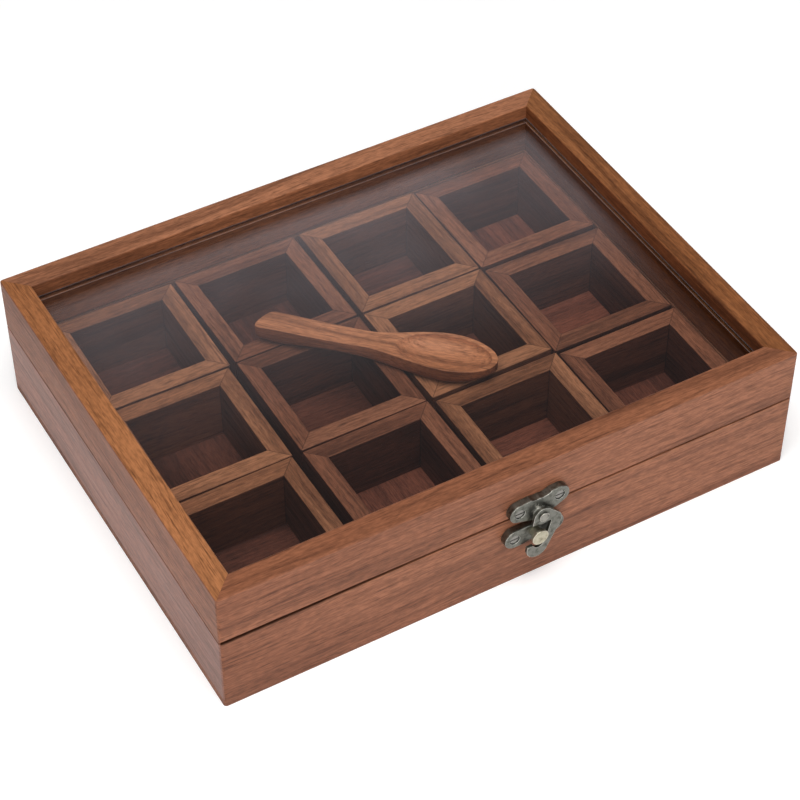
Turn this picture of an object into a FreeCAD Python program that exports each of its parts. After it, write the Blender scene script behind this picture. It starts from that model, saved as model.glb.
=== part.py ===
import FreeCAD, Part
import math
import os
import re
import Sketcher

# A wooden spice box: a base of four mitred boards on a bottom panel, a lid of four
# mitred boards round a glass pane, twelve loose square cups, a spoon that lies on
# the cups, a swing-hook latch at the front and two butt hinges at the back.
# Origin: the centre of the underside. +X runs right along the front, +Y to the back.

sizes = {
    # the box
    "boxLength": 305,
    "boxDepth": 234,
    "boxHeight": 72.4,
    "boardThick": 12,
    "panelThick": 4.5,
    "baseHeight": 42.7,  # rim of the base over the table
    "seamGap": 1.0,  # between the base's rim and the lid
    "seamTaper": 1.0,  # how much more the seam opens at the front's left end
    "cornerRound": 1.6,
    "edgeRound": 0.9,
    # the pane
    "glassThick": 3,
    "glassDrop": 7.9,  # from the lid's top to the pane
    "grooveDeep": 5,
    "glassClear": 0.3,  # round the pane, in its groove
    # the cups
    "cupRise": 38.2,
    "cupWall": 9,
    "cupFloor": 5,
    "cupRound": 0.7,
    "restGap": 0.3,  # under what lies loose
    "leftGap": 0.9,  # the gaps from the left board to the right one
    "columnGap1": 5.2,
    "columnGap2": 2.8,
    "columnGap3": 0.8,
    "rightGap": 0.5,
    "frontGap": 3.2,  # the gaps from the front board to the back one
    "rowGap1": 2.0,
    "rowGap2": 1.8,
    "backGap": 0.5,
    # the spoon
    "spoonLength": 118,
    "spoonThick": 11,
    "spoonTurn": -44.5,
    "spoonRight": -4.6,  # the spoon's middle, from the box's middle
    "spoonBack": 6.2,
    "handleRound": 6.3,
    "neckRound": 5.4,
    "bowlRound": 13,
    "tipRound": 6,
    "bowlDeep": 5.5,
    "bowlRim": 1.8,
    "neckShare": 0.45,  # shares of the spoon's length, from the handle's end
    "shoulderShare": 0.68,
    "bowlShare": 0.8,
    "scoopShare": 0.77,
    "scoopHalfShare": 0.2,
    "shoulderRound": 9.4,
    "shoulderOut": 1.5,
    "handleLift": 1.2,  # how far the underside rises at each place
    "neckLift": 2.2,
    "tipLift": 6.5,
    # the latch
    "latchRight": 8.2,  # of the box's middle
    "keeperRight": 6.0,
    "pivotHeight": 45.0,
    "latchPlateHeight": 49.6,
    "keeperHeight": 32.6,
    "postHeight": 33.4,
    "plateThick": 4,
    "lobeRound": 5.2,
    "lobeApart": 21.2,
    "bossRound": 4.7,
    "latchTilt": 0.9,  # how much the lid plate's right lobe stands over its middle
    "waistRound": 6.5,
    "waistDeep": 1.0,
    "waistHalf": 1.8,
    "rivetRound": 1.5,
    "rivetHead": 2.6,
    "spacerRound": 3.6,
    "spacerThick": 1.6,
    "hookThick": 1.8,
    "hookDisc": 4.9,
    "hookElbowRight": 4.6,
    "hookElbowDown": 5.6,
    "hookElbowRound": 5.5,
    "hookEndLeft": 2.6,
    "hookEndDown": 20.1,
    "hookEndRound": 5.6,
    "hookBand": 3.3,  # width of the hook where it goes round the post
    "mouthSlack": 0.6,
    "armIn": 1.6,
    "armRound": 1.3,
    "throatRight": 2,
    "throatRound": 2,
    "throatDown": 2.5,
    "postRound": 2.7,
    "postHead": 4.2,
    "headThick": 1.5,
    "runClear": 0.08,  # between a pin and what turns on it
    "faceClear": 0.3,  # between faces that pass each other
    # screws
    "screwHead": 2.3,
    "screwHeadThick": 1.1,
    "screwShank": 1.1,
    "screwLength": 8,
    "screwSunk": 0.5,  # how far a head lies below the plate's face
    # the hinges
    "hingeApart": 190,
    "hingeLength": 30,
    "hingeInset": 1.0,  # from the back face in to the pin
    "barrelRound": 2.4,
    "hingePin": 1.1,
    "leafThick": 1.2,
    "leafWide": 10.5,
    "leafScrewApart": 18,
    "leafScrewIn": 6.5,  # from the pin in to the screws
    "backChamfer": 1.2,
}

doc = FreeCAD.newDocument("SpiceBox")
sheet = doc.addObject("Spreadsheet::Sheet", "Sizes")
for row, (alias, number) in enumerate(sizes.items(), 1):
    sheet.set(f"A{row}", alias)
    sheet.set(f"B{row}", str(number))
    sheet.setAlias(f"B{row}", alias)
doc.recompute()

Vector = FreeCAD.Vector
upAxis = Vector(0, 0, 1)
nodes = []


# ---- helpers: values and bindings

def derived(name, text):
    """Add a worked-out size to the sheet under a name of its own."""
    row = len(sizes) + 1
    sizes[name] = text
    sheet.set(f"A{row}", name)
    sheet.set(f"B{row}", "=" + text)
    sheet.setAlias(f"B{row}", name)
    doc.recompute()


def value(text):
    return float(sheet.evalExpression(str(text)))


def bind(thing, prop, text):
    named = re.sub(r"[A-Za-z]\w*", lambda m: "Sizes." + m[0] if m[0] in sizes else m[0], str(text))
    thing.setExpression(prop, named)


def place(thing, right="0", back="0", up="0", turn="0", axis=upAxis):
    thing.Placement = FreeCAD.Placement(Vector(0, 0, 0), axis, value(turn))
    bind(thing, "Placement.Base.x", right)
    bind(thing, "Placement.Base.y", back)
    bind(thing, "Placement.Base.z", up)
    if str(turn) != "0":
        bind(thing, "Placement.Rotation.Angle", turn)
    return thing


def node(thing, label):
    thing.Label = label
    nodes.append(thing)
    return thing


# ---- helpers: solids

def box(name, long, deep, tall, right="0", back="0", up="0"):
    """A box from its low corner."""
    thing = doc.addObject("Part::Box", name)
    for prop, text in (("Length", long), ("Width", deep), ("Height", tall)):
        bind(thing, prop, text)
    return place(thing, right, back, up)


def cylinder(name, radius, tall, right="0", back="0", up="0", turn="0", axis=upAxis):
    thing = doc.addObject("Part::Cylinder", name)
    bind(thing, "Radius", radius)
    bind(thing, "Height", tall)
    return place(thing, right, back, up, turn, axis)


def forward(name, radius, tall, right, back, up):
    """A cylinder that points out of the front, towards -Y."""
    return cylinder(name, radius, tall, right, back, up, "90", Vector(1, 0, 0))


def sideways(name, radius, tall, right, back, up):
    """A cylinder that lies along +X."""
    return cylinder(name, radius, tall, right, back, up, "90", Vector(0, 1, 0))


def fuse(name, parts):
    thing = doc.addObject("Part::MultiFuse", name)
    thing.Shapes = parts
    return thing


def cut(name, base, tool):
    thing = doc.addObject("Part::Cut", name)
    thing.Base = base
    thing.Tool = tool
    return thing


def compound(name, parts):
    thing = doc.addObject("Part::Compound", name)
    thing.Links = parts
    return thing


def copyOf(master, name, right="0", back="0", up="0", turn="0", axis=upAxis):
    link = doc.addObject("App::Link", name)
    link.LinkedObject = master
    return place(link, right, back, up, turn, axis)


# ---- helpers: sketches and features

def newSketch(body, name, plane):
    sketch = body.newObject("Sketcher::SketchObject", name)
    face = [f for f in body.Origin.OriginFeatures if f.Role == plane + "_Plane"][0]
    sketch.AttachmentSupport = [(face, "")]
    sketch.MapMode = "FlatFace"
    return sketch


def fix(sketch, geometry, end, x, y):
    """Hold one point of the sketch at x, y, which are expressions."""
    for kind, text in (("DistanceX", x), ("DistanceY", y)):
        index = sketch.addConstraint(Sketcher.Constraint(kind, -1, 1, geometry, end, value(text)))
        name = f"{kind[-1].lower()}{geometry}n{end}"
        sketch.renameConstraint(index, name)
        bind(sketch, "Constraints." + name, text)


def fixRadius(sketch, geometry, radius):
    index = sketch.addConstraint(Sketcher.Constraint("Radius", geometry, value(radius)))
    sketch.renameConstraint(index, f"radius{geometry}")
    bind(sketch, f"Constraints.radius{geometry}", radius)


def outline(body, name, plane, points):
    """A closed outline, counter-clockwise. A point is (x, y), or (x, y, radius) where
    the stretch to the next point is an outward arc."""
    sketch = newSketch(body, name, plane)
    spots = [Vector(value(p[0]), value(p[1]), 0) for p in points]
    count = len(points)
    for i, point in enumerate(points):
        start, end = spots[i], spots[(i + 1) % count]
        if len(point) == 2:
            sketch.addGeometry(Part.LineSegment(start, end), False)
            continue
        radius = value(point[2])
        half = (end - start) / 2
        inward = Vector(-half.y, half.x, 0).normalize()
        centre = start + half + inward * math.sqrt(radius ** 2 - half.Length ** 2)
        angles = [math.atan2(p.y - centre.y, p.x - centre.x) for p in (start, end)]
        circle = Part.Circle(centre, upAxis, radius)
        sketch.addGeometry(Part.ArcOfCircle(circle, *angles), False)
    for i, point in enumerate(points):
        sketch.addConstraint(Sketcher.Constraint("Coincident", i, 2, (i + 1) % count, 1))
        fix(sketch, i, 1, point[0], point[1])
        if len(point) == 3:
            fixRadius(sketch, i, point[2])
    return sketch


def belt(body, name, plane, rounds):
    """The outline of a belt round circles (x, y, radius), listed counter-clockwise."""
    sketch = newSketch(body, name, plane)
    spots = [(Vector(value(x), value(y), 0), value(r)) for x, y, r in rounds]
    count = len(rounds)
    leave = []
    for i, (centre, radius) in enumerate(spots):
        other, otherRadius = spots[(i + 1) % count]
        run = other - centre
        leave.append(math.atan2(run.y, run.x) - math.acos((radius - otherRadius) / run.Length))
    for i, (centre, radius) in enumerate(spots):
        circle = Part.Circle(centre, upAxis, radius)
        sketch.addGeometry(Part.ArcOfCircle(circle, leave[i - 1], leave[i]), False)
    for i, (centre, radius) in enumerate(spots):
        other, otherRadius = spots[(i + 1) % count]
        out = Vector(math.cos(leave[i]), math.sin(leave[i]), 0)
        line = Part.LineSegment(centre + out * radius, other + out * otherRadius)
        sketch.addGeometry(line, False)
    for i, (x, y, radius) in enumerate(rounds):
        fix(sketch, i, 3, x, y)
        fixRadius(sketch, i, radius)
        sketch.addConstraint(Sketcher.Constraint("Tangent", i, 2, count + i, 1))
        sketch.addConstraint(Sketcher.Constraint("Tangent", count + i, 2, (i + 1) % count, 1))
    return sketch


def pad(body, sketch, length, midplane=False):
    feature = body.newObject("PartDesign::Pad", sketch.Name + "Pad")
    feature.Profile = sketch
    bind(feature, "Length", length)
    feature.Midplane = midplane
    doc.recompute()
    return feature


def pocket(body, sketch, length, midplane=False):
    before = body.Shape.Volume
    feature = body.newObject("PartDesign::Pocket", sketch.Name + "Pocket")
    feature.Profile = sketch
    bind(feature, "Length", length)
    feature.Midplane = midplane
    doc.recompute()
    if body.Shape.Volume >= before:
        raise RuntimeError(sketch.Name + " cuts nothing")
    return feature


def dress(body, kind, base, size, wanted):
    """Fillet or Chamfer every edge for which wanted is true."""
    names = [f"Edge{i}" for i, edge in enumerate(base.Shape.Edges, 1) if wanted(edge)]
    feature = body.newObject("PartDesign::" + kind, body.Name + kind + str(len(body.Group)))
    feature.Base = (base, names)
    bind(feature, "Size" if kind == "Chamfer" else "Radius", size)
    doc.recompute()
    return feature


# ---- boards

def mitredBoard(name, long, thick, tall, corner, edge, extra=None):
    """A board on edge with mitred ends. Its outer face lies on y = 0 and its lower
    edge on z = 0, and it is centred on x = 0."""
    body = doc.addObject("PartDesign::Body", name)
    slip = f"{corner} * (1 - cos(45deg))"
    plan = outline(body, name + "Plan", "XY", [
        (f"-{long} / 2 + {corner}", "0"),
        (f"{long} / 2 - {corner}", "0", corner),
        (f"{long} / 2 - {slip}", slip),
        (f"{long} / 2 - {thick}", thick),
        (f"-{long} / 2 + {thick}", thick),
        (f"-{long} / 2 + {slip}", slip, corner),
    ])
    last = pad(body, plan, tall)
    if extra:
        last = extra(body, last)
    top = value(tall)
    least = value(long) / 2

    def longTop(line):
        return line.Length > least and abs(line.BoundBox.ZMin - top) < 0.01

    dress(body, "Fillet", last, edge, longTop)
    return body


derived("lidLow", "baseHeight + seamGap")
derived("wallTall", "baseHeight - panelThick")
derived("railTall", "boxHeight - lidLow")
derived("glassTop", "boxHeight - glassDrop")
derived("grooveHigh", "glassTop - lidLow + glassClear / 2")
derived("hingeUp", "baseHeight + seamGap / 2")
derived("hingeBack", "boxDepth / 2 - hingeInset")

sides = {  # name: (length, x, y, turn)
    "front": ("boxLength", "0", "-boxDepth / 2", "0"),
    "right": ("boxDepth", "boxLength / 2", "0", "90"),
    "back": ("boxLength", "0", "boxDepth / 2", "180"),
    "left": ("boxDepth", "-boxLength / 2", "0", "270"),
}


def grooved(long, wedge):
    """Cuts the pane's groove into a lid board, and tapers the front board's foot."""
    def extra(body, last):
        groove = outline(body, body.Name + "Groove", "YZ", [
            ("boardThick - grooveDeep", "grooveHigh - glassThick - glassClear"),
            ("boardThick + 1", "grooveHigh - glassThick - glassClear"),
            ("boardThick + 1", "grooveHigh"),
            ("boardThick - grooveDeep", "grooveHigh"),
        ])
        last = pocket(body, groove, f"{long} * 2", True)
        if wedge:
            taper = outline(body, body.Name + "Taper", "XZ", [
                (f"-{long} / 2 - 1", "-1"),
                (f"{long} / 2 + 1", "-1"),
                (f"{long} / 2 + 1", "0"),
                (f"-{long} / 2 - 1", "seamTaper"),
            ])
            last = pocket(body, taper, f"{long} * 2", True)
        return last
    return extra


def backChamfer(name, edge, away):
    """A bar that takes the back edge off the boards at one height, so that the lid can
    lean back past upright. It runs across the whole box, mitres included."""
    body = doc.addObject("PartDesign::Body", name)
    corners = [
        ("boxDepth / 2 - backChamfer", edge),
        ("boxDepth / 2 + backChamfer", f"{edge} {away} 2 * backChamfer"),
        ("boxDepth / 2 + backChamfer", edge),
    ]
    pad(body, outline(body, name + "Plan", "YZ", corners if away == "+" else corners[::-1]),
        "boxLength + 20", True)
    return body


wallBar = backChamfer("WallBar", "baseHeight", "-")
railBar = backChamfer("RailBar", "lidLow", "+")
walls = {}
rails = {}
for side, (long, right, back, turn) in sides.items():
    wall = mitredBoard(side + "Wall", long, "boardThick", "wallTall", "cornerRound", "edgeRound / 2")
    rail = mitredBoard(side + "Rail", long, "boardThick", "railTall", "cornerRound", "edgeRound",
                       grooved(long, side == "front"))
    walls[side] = place(wall, right, back, "panelThick", turn)
    rails[side] = place(rail, right, back, "lidLow", turn)
    if side != "front":
        walls[side] = cut(side + "WallCut", wall, wallBar)
        rails[side] = cut(side + "RailCut", rail, railBar)

# ---- bottom panel and pane

panel = doc.addObject("PartDesign::Body", "Panel")
panelPlan = belt(panel, "PanelPlan", "XY", [
    (f"{x}boxLength / 2 {a} cornerRound", f"{y}boxDepth / 2 {b} cornerRound", "cornerRound")
    for x, a, y, b in (("-", "+", "-", "+"), ("", "-", "-", "+"), ("", "-", "", "-"), ("-", "+", "", "-"))
])
pad(panel, panelPlan, "panelThick")
node(panel, "base_bottom_panel")

derived("paneLong", "boxLength - 2 * (boardThick - grooveDeep) - 2 * glassClear")
derived("paneDeep", "boxDepth - 2 * (boardThick - grooveDeep) - 2 * glassClear")
pane = box("Pane", "paneLong", "paneDeep", "glassThick",
           "-paneLong / 2", "-paneDeep / 2", "glassTop - glassThick")
node(pane, "lid_glass")

# ---- cups

derived("columnGaps", "leftGap + columnGap1 + columnGap2 + columnGap3 + rightGap")
derived("rowGaps", "frontGap + rowGap1 + rowGap2 + backGap")
derived("cupLong", "(boxLength - 2 * boardThick - columnGaps) / 4")
derived("cupDeep", "(boxDepth - 2 * boardThick - rowGaps) / 3")
derived("cupLow", "panelThick + restGap")

longBoard = mitredBoard("CupLongBoard", "cupLong", "cupWall", "cupRise", "cupRound", "cupRound * 0.7")
deepBoard = mitredBoard("CupDeepBoard", "cupDeep", "cupWall", "cupRise", "cupRound", "cupRound * 0.7")

columns = ["-boxLength / 2 + boardThick + leftGap + cupLong / 2"]
for i in (1, 2, 3):
    columns.append(f"{columns[-1]} + cupLong + columnGap{i}")
rows = ["-boxDepth / 2 + boardThick + frontGap + cupDeep / 2"]
for i in (1, 2):
    rows.append(f"{rows[-1]} + cupDeep + rowGap{i}")

# loose cups never stand quite square: for each a turn in degrees, and how far it has
# slid to the right and to the back. The front row comes first.
cupSlips = (
    ((0.3, -0.3, 1.8), (0.3, 0, 2.1), (-0.2, 0, 0), (-0.4, -0.1, -1.9)),
    ((-0.5, 0.4, 0.7), (-0.3, 0, 0.9), (0.2, 0, 0.7), (-0.5, -0.1, -1.7)),
    ((-0.6, 2.6, 0.1), (0.3, 0, 0.1), (-0.2, 0, 0.1), (0.15, 0, -0.8)),
)
for rowName, rowBack, slips in zip(("front", "middle", "back"), rows, cupSlips):
    for column, (columnRight, (turn, slipRight, slipBack)) in enumerate(zip(columns, slips), 1):
        name = f"cup_{rowName}_{column}"
        right = f"{columnRight} + {slipRight}"
        # the turn moves a corner back, so the cup stands that much further forward
        back = f"{rowBack} + {slipBack} - cupLong / 2 * sin({abs(turn)} * 1deg)"
        boards = [
            copyOf(longBoard, name + "_a", "0", "-cupDeep / 2"),
            copyOf(deepBoard, name + "_b", "cupLong / 2", "0", "0", "90"),
            copyOf(longBoard, name + "_c", "0", "cupDeep / 2", "0", "180"),
            copyOf(deepBoard, name + "_d", "-cupLong / 2", "0", "0", "270"),
        ]
        ring = compound(name + "_ring", boards)
        node(place(ring, right, back, "cupLow", str(turn)), name + "_walls")
        slab = box(name + "_slab", "cupLong - 2 * cupWall", "cupDeep - 2 * cupWall", "cupFloor",
                   "-cupLong / 2 + cupWall", "-cupDeep / 2 + cupWall")
        floor = compound(name + "_bottom", [slab])
        node(place(floor, right, back, "cupLow", str(turn)), name + "_floor")

# ---- spoon, made along +X from its handle's end at x = 0, then laid down

spoonPlan = doc.addObject("PartDesign::Body", "SpoonHandle")
handleSketch = belt(spoonPlan, "HandlePlan", "XY", [
    ("handleRound", "0", "handleRound"),
    ("spoonLength * neckShare", "0", "neckRound"),
])
pad(spoonPlan, handleSketch, "spoonThick")
spoonBowl = doc.addObject("PartDesign::Body", "SpoonBowl")
bowlSketch = belt(spoonBowl, "BowlPlan", "XY", [
    ("spoonLength * neckShare - neckRound / 2", "0", "neckRound"),
    ("spoonLength * shoulderShare", "-shoulderOut", "shoulderRound"),
    ("spoonLength * bowlShare", "0", "bowlRound"),
    ("spoonLength - tipRound", "0", "tipRound"),
    ("spoonLength * bowlShare", "0.01", "bowlRound"),
    ("spoonLength * shoulderShare", "shoulderOut", "shoulderRound"),
])
pad(spoonBowl, bowlSketch, "spoonThick")
spoonSide = doc.addObject("PartDesign::Body", "SpoonSide")
sideSketch = outline(spoonSide, "SidePlan", "XZ", [
    ("-1", "handleLift"),
    ("spoonLength * 0.12", "0"),
    ("spoonLength * neckShare", "neckLift"),
    ("spoonLength * 0.62", "0"),
    ("spoonLength * 0.86", "0", "bowlRound * 2.4"),
    ("spoonLength + 1", "tipLift"),
    ("spoonLength + 1", "spoonThick + 1"),
    ("-1", "spoonThick + 1"),
])
pad(spoonSide, sideSketch, "bowlRound * 4", True)
spoonSolid = doc.addObject("Part::MultiCommon", "SpoonBlank")
spoonSolid.Shapes = [fuse("SpoonOutline", [spoonPlan, spoonBowl]), spoonSide]
scoop = doc.addObject("Part::Ellipsoid", "Scoop")
bind(scoop, "Radius1", "bowlDeep")
bind(scoop, "Radius2", "spoonLength * scoopHalfShare - bowlRim")
bind(scoop, "Radius3", "bowlRound - bowlRim")
place(scoop, "spoonLength * scoopShare", "0", "spoonThick")
spoonCut = cut("SpoonCut", spoonSolid, scoop)
doc.recompute()
spoon = node(compound("Spoon", [spoonCut]), "spoon")
place(spoon,
      "spoonRight - cos(spoonTurn * 1deg) * spoonLength / 2",
      "spoonBack - sin(spoonTurn * 1deg) * spoonLength / 2",
      "cupLow + cupRise + restGap", "spoonTurn")

# ---- screws: one design, head up, its head's top on z = 0

screwBody = fuse("ScrewBody", [
    cylinder("ScrewHead", "screwHead", "screwHeadThick", "0", "0", "-screwHeadThick"),
    cylinder("ScrewShank", "screwShank", "screwLength", "0", "0", "-screwLength"),
])
screw = cut("Screw", screwBody, box("ScrewSlot", "screwHead * 2", "screwHead / 4", "screwHeadThick / 2",
                                   "-screwHead", "-screwHead / 8", "-screwHeadThick / 2"))

# ---- latch: a plate with a swing hook on the lid, and a plate with a post on the base

derived("frontFace", "-boxDepth / 2")
derived("plateFace", "frontFace - plateThick")
derived("hookBack", "plateFace - spacerThick")
derived("hookFront", "hookBack - hookThick")


def latchPlate(name, lobeUp, tilt, bossUp, boreRadius):
    """A plate with a screw lobe at each end and a boss between, drawn round x = 0."""
    body = doc.addObject("PartDesign::Body", name)
    left = ("-lobeApart / 2", f"{lobeUp} - {tilt}", "lobeRound")
    right = ("lobeApart / 2", f"{lobeUp} + {tilt}", "lobeRound")
    boss = ("0", bossUp, "bossRound")
    for i, pair in enumerate(((left, right), (left, boss), (boss, right))):
        last = pad(body, belt(body, f"{name}Plan{i}", "XZ", pair), "plateThick")

    def faceEdge(line):
        return abs(line.BoundBox.YMax + value("plateThick")) < 0.01

    dress(body, "Fillet", last, "edgeRound / 2", faceEdge)
    holes = []
    for i, (across, up, _) in enumerate((left, right)):
        holes.append(forward(f"{name}Bore{i}", "screwShank + runClear", "plateThick + 2", across, "1", up))
        holes.append(forward(f"{name}Sink{i}", "screwHead + faceClear", "plateThick", across,
                             "-plateThick + screwHeadThick + screwSunk", up))
    holes.append(forward(name + "Centre", boreRadius, "plateThick + 2", "0", "1", bossUp))
    above = value(bossUp) > value(lobeUp)
    if not above:
        # the boss hangs over the seam, and stands clear of the base's board
        holes.append(box(name + "Relief", "lobeApart", "1 + faceClear", "bossRound * 2", "-lobeApart / 2",
                         "-faceClear", "lidLow - bossRound * 2"))
    # a waist between the lobes, on the side away from the boss
    away = "-" if above else "+"
    for i, shift in enumerate(("-waistHalf", "waistHalf")):
        holes.append(forward(f"{name}Waist{i}", "waistRound", "plateThick + 2", shift, "1",
                             f"{lobeUp} {away} (lobeRound + waistRound - waistDeep)"))
    return cut(name + "Cut", body, compound(name + "Holes", holes))


def screwsAlong(name, right, lobeUp, tilt):
    """Two screws through a latch plate, driven in from the front."""
    return compound(name, [
        copyOf(screw, f"{name}{i}", f"{right} {sign} lobeApart / 2",
               "plateFace + screwSunk", f"{lobeUp} {sign} {tilt}", "90", Vector(1, 0, 0))
        for i, sign in enumerate("-+")
    ])


def pilotHoles(name, right, lobeUp, tilt):
    """What those screws leave in the board behind the plate."""
    return compound(name, [
        forward(f"{name}{i}", "screwShank", "screwLength + 2", f"{right} {sign} lobeApart / 2",
                "plateFace + screwSunk + screwLength", f"{lobeUp} {sign} {tilt}")
        for i, sign in enumerate("-+")
    ])


node(place(latchPlate("LatchPlate", "latchPlateHeight", "latchTilt", "pivotHeight", "rivetRound"),
           "latchRight", "frontFace"), "latch_plate")
node(place(latchPlate("KeeperPlate", "keeperHeight", "0", "postHeight", "postRound"),
           "keeperRight", "frontFace"), "keeper_plate")
node(screwsAlong("LatchScrews", "latchRight", "latchPlateHeight", "latchTilt"), "latch_plate_screws")
node(screwsAlong("KeeperScrews", "keeperRight", "keeperHeight", "0"), "keeper_plate_screws")

spacer = cut("Spacer",
             forward("SpacerDisc", "spacerRound", "spacerThick - runClear", "latchRight", "plateFace",
                     "pivotHeight"),
             forward("SpacerBore", "rivetRound", "spacerThick * 3", "latchRight", "plateFace + spacerThick",
                     "pivotHeight"))
node(spacer, "latch_spacer")
rivet = fuse("Rivet", [
    forward("RivetShank", "rivetRound", "plateThick + spacerThick + hookThick + runClear * 2",
            "latchRight", "frontFace", "pivotHeight"),
    forward("RivetHead", "rivetHead", "headThick / 2", "latchRight", "hookFront - runClear", "pivotHeight"),
])
node(rivet, "latch_rivet")
post = fuse("Post", [
    forward("PostShank", "postRound", "plateThick + screwLength + spacerThick + hookThick + faceClear * 2",
            "keeperRight", "frontFace + screwLength", "postHeight"),
    forward("PostHead", "postHead", "headThick", "keeperRight", "hookFront - faceClear", "postHeight"),
])
node(post, "keeper_post")

hook = doc.addObject("PartDesign::Body", "Hook")
endLeft, endDown = "-hookEndLeft", "-hookEndDown"
hookOuter = belt(hook, "HookOuter", "XZ", [
    (endLeft, endDown, "hookEndRound"),
    ("hookElbowRight", "-hookElbowDown", "hookElbowRound"),
    ("0", "0", "hookDisc"),
])
pad(hook, hookOuter, "hookThick")
mouthRound = "(hookEndRound - hookBand)"
mouthRight = f"{endLeft} + mouthSlack"
hookInner = belt(hook, "HookInner", "XZ", [
    (mouthRight, endDown + " + hookBand", mouthRound + " + mouthSlack"),
    ("hookElbowRight - armIn", "-hookElbowDown", "armRound"),
    (endLeft + " + throatRight", "-hookDisc - throatDown", "throatRound"),
])
pocket(hook, hookInner, "hookThick * 3", True)
hookMouth = outline(hook, "HookMouth", "XZ", [
    ("-hookEndRound * 3", endDown + " + hookBand * 0.75"),
    (mouthRight, endDown + " + hookBand * 0.75"),
    ("hookElbowRight - armIn", "-hookElbowDown + 1"),
    ("-hookEndRound * 3", "-hookElbowDown + throatDown"),
])
pocket(hook, hookMouth, "hookThick * 3", True)
hookDisc = newSketch(hook, "HookDisc", "XZ")
hookDisc.addGeometry(Part.Circle(Vector(0, 0, 0), upAxis, value("hookDisc")), False)
fixRadius(hookDisc, 0, "hookDisc")
hookDisc.addConstraint(Sketcher.Constraint("Coincident", -1, 1, 0, 3))
pad(hook, hookDisc, "hookThick")
hookHole = forward("HookHole", "rivetRound + runClear", "hookThick * 3", "0", "hookThick", "0")
node(place(cut("HookCut", hook, hookHole), "latchRight", "hookBack", "pivotHeight"), "latch_hook")

# ---- hinges, drawn round the pin, which lies along X

derived("knuckle", "hingeLength / 3")
reach = "(barrelRound + faceClear)"  # where a leaf starts beside the other leaf's knuckles


def leaf(name, sign, spans):
    """One leaf: a plate below (-) or above (+) the seam, and its knuckles."""
    level = "faceClear / 2" if sign == "+" else "-faceClear / 2 - leafThick"
    parts = [box(name + "Plate", "hingeLength", f"leafWide - {reach}", "leafThick",
                 "-hingeLength / 2", "-leafWide", level)]
    for i, (start, long) in enumerate(spans):
        parts.append(box(f"{name}Web{i}", long, f"{reach} * 1.2", "leafThick", start,
                         f"-{reach} * 1.2", level))
        parts.append(sideways(f"{name}Knuckle{i}", "barrelRound", long, start, "0", "0"))
    holes = []
    for i, side in enumerate("-+"):
        across = f"{side}leafScrewApart / 2"
        holes.append(cylinder(f"{name}Bore{i}", "screwShank + runClear", "20", across,
                              "-leafScrewIn", "-10"))
    bore = "hingePin" if sign == "-" else "hingePin + runClear"
    holes.append(sideways(name + "Eye", bore, "hingeLength + 2", "-hingeLength / 2 - 1", "0", "0"))
    return cut(name, fuse(name + "Solid", parts), compound(name + "Holes", holes))


baseLeaf = leaf("BaseLeaf", "-", [
    ("-hingeLength / 2", "knuckle - faceClear"),
    ("hingeLength / 2 - knuckle + faceClear", "knuckle - faceClear"),
])
lidLeaf = leaf("LidLeaf", "+", [("-knuckle / 2", "knuckle")])
pinBar = sideways("PinBar", "hingePin", "hingeLength", "-hingeLength / 2", "0", "0")


def recess(name, sign):
    """What a hinge takes out of a board: the leaf's bed, the barrel's and the screws' holes."""
    level = "-leafThick - faceClear / 2" if sign == "-" else "0"
    tools = [
        box(name + "Bed", "hingeLength + faceClear", "leafWide + 1", "leafThick + faceClear / 2",
            "-hingeLength / 2 - faceClear / 2", "-leafWide - faceClear / 2", level),
        sideways(name + "Barrel", "barrelRound + faceClear * 1.5", "hingeLength + faceClear * 2",
                 "-hingeLength / 2 - faceClear", "0", "0"),
    ]
    for i, side in enumerate("-+"):
        low = "-screwLength - 0.2" if sign == "-" else "0"
        tools.append(cylinder(f"{name}Pilot{i}", "screwShank", "screwLength + 0.2",
                              f"{side}leafScrewApart / 2", "-leafScrewIn", low))
    return compound(name, tools)


hingeSpots = (("left", "-hingeApart / 2"), ("right", "hingeApart / 2"))
for side, right in hingeSpots:
    for master, label in ((lidLeaf, "lid_leaf"), (baseLeaf, "base_leaf"), (pinBar, "pin")):
        piece = compound(f"{side}_{label}", [master])
        node(place(piece, right, "hingeBack", "hingeUp"), f"hinge_{side}_{label}")


# flat-headed screws for the leaves: the head fills a cone in the leaf
headCone = doc.addObject("Part::Cone", "HeadCone")
bind(headCone, "Radius1", "screwShank")
bind(headCone, "Radius2", "screwHead")
bind(headCone, "Height", "leafThick")
place(headCone, "0", "0", "-leafThick")
countersunk = cut("FlatScrew",
                  fuse("FlatScrewBody", [headCone, cylinder("FlatShank", "screwShank", "screwLength",
                                                            "0", "0", "-screwLength")]),
                  box("FlatSlot", "screwHead * 2", "screwHead / 4", "leafThick / 3",
                      "-screwHead", "-screwHead / 8", "-leafThick / 3"))


def hingeScrews(name, sign):
    """Both hinges' screws in one board. Each head lies on its leaf's inner face."""
    turn = "0" if sign == "-" else "180"
    screws = []
    for side, right in hingeSpots:
        for i, shift in enumerate("-+"):
            screws.append(copyOf(countersunk, f"{name}{side}{i}", f"{right} {shift} leafScrewApart / 2",
                                 "hingeBack - leafScrewIn",
                                 f"hingeUp {sign} faceClear / 2", turn, Vector(1, 0, 0)))
    return compound(name, screws)


node(hingeScrews("LidHingeScrews", "+"), "hinge_lid_screws")
node(hingeScrews("BaseHingeScrews", "-"), "hinge_base_screws")

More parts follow.
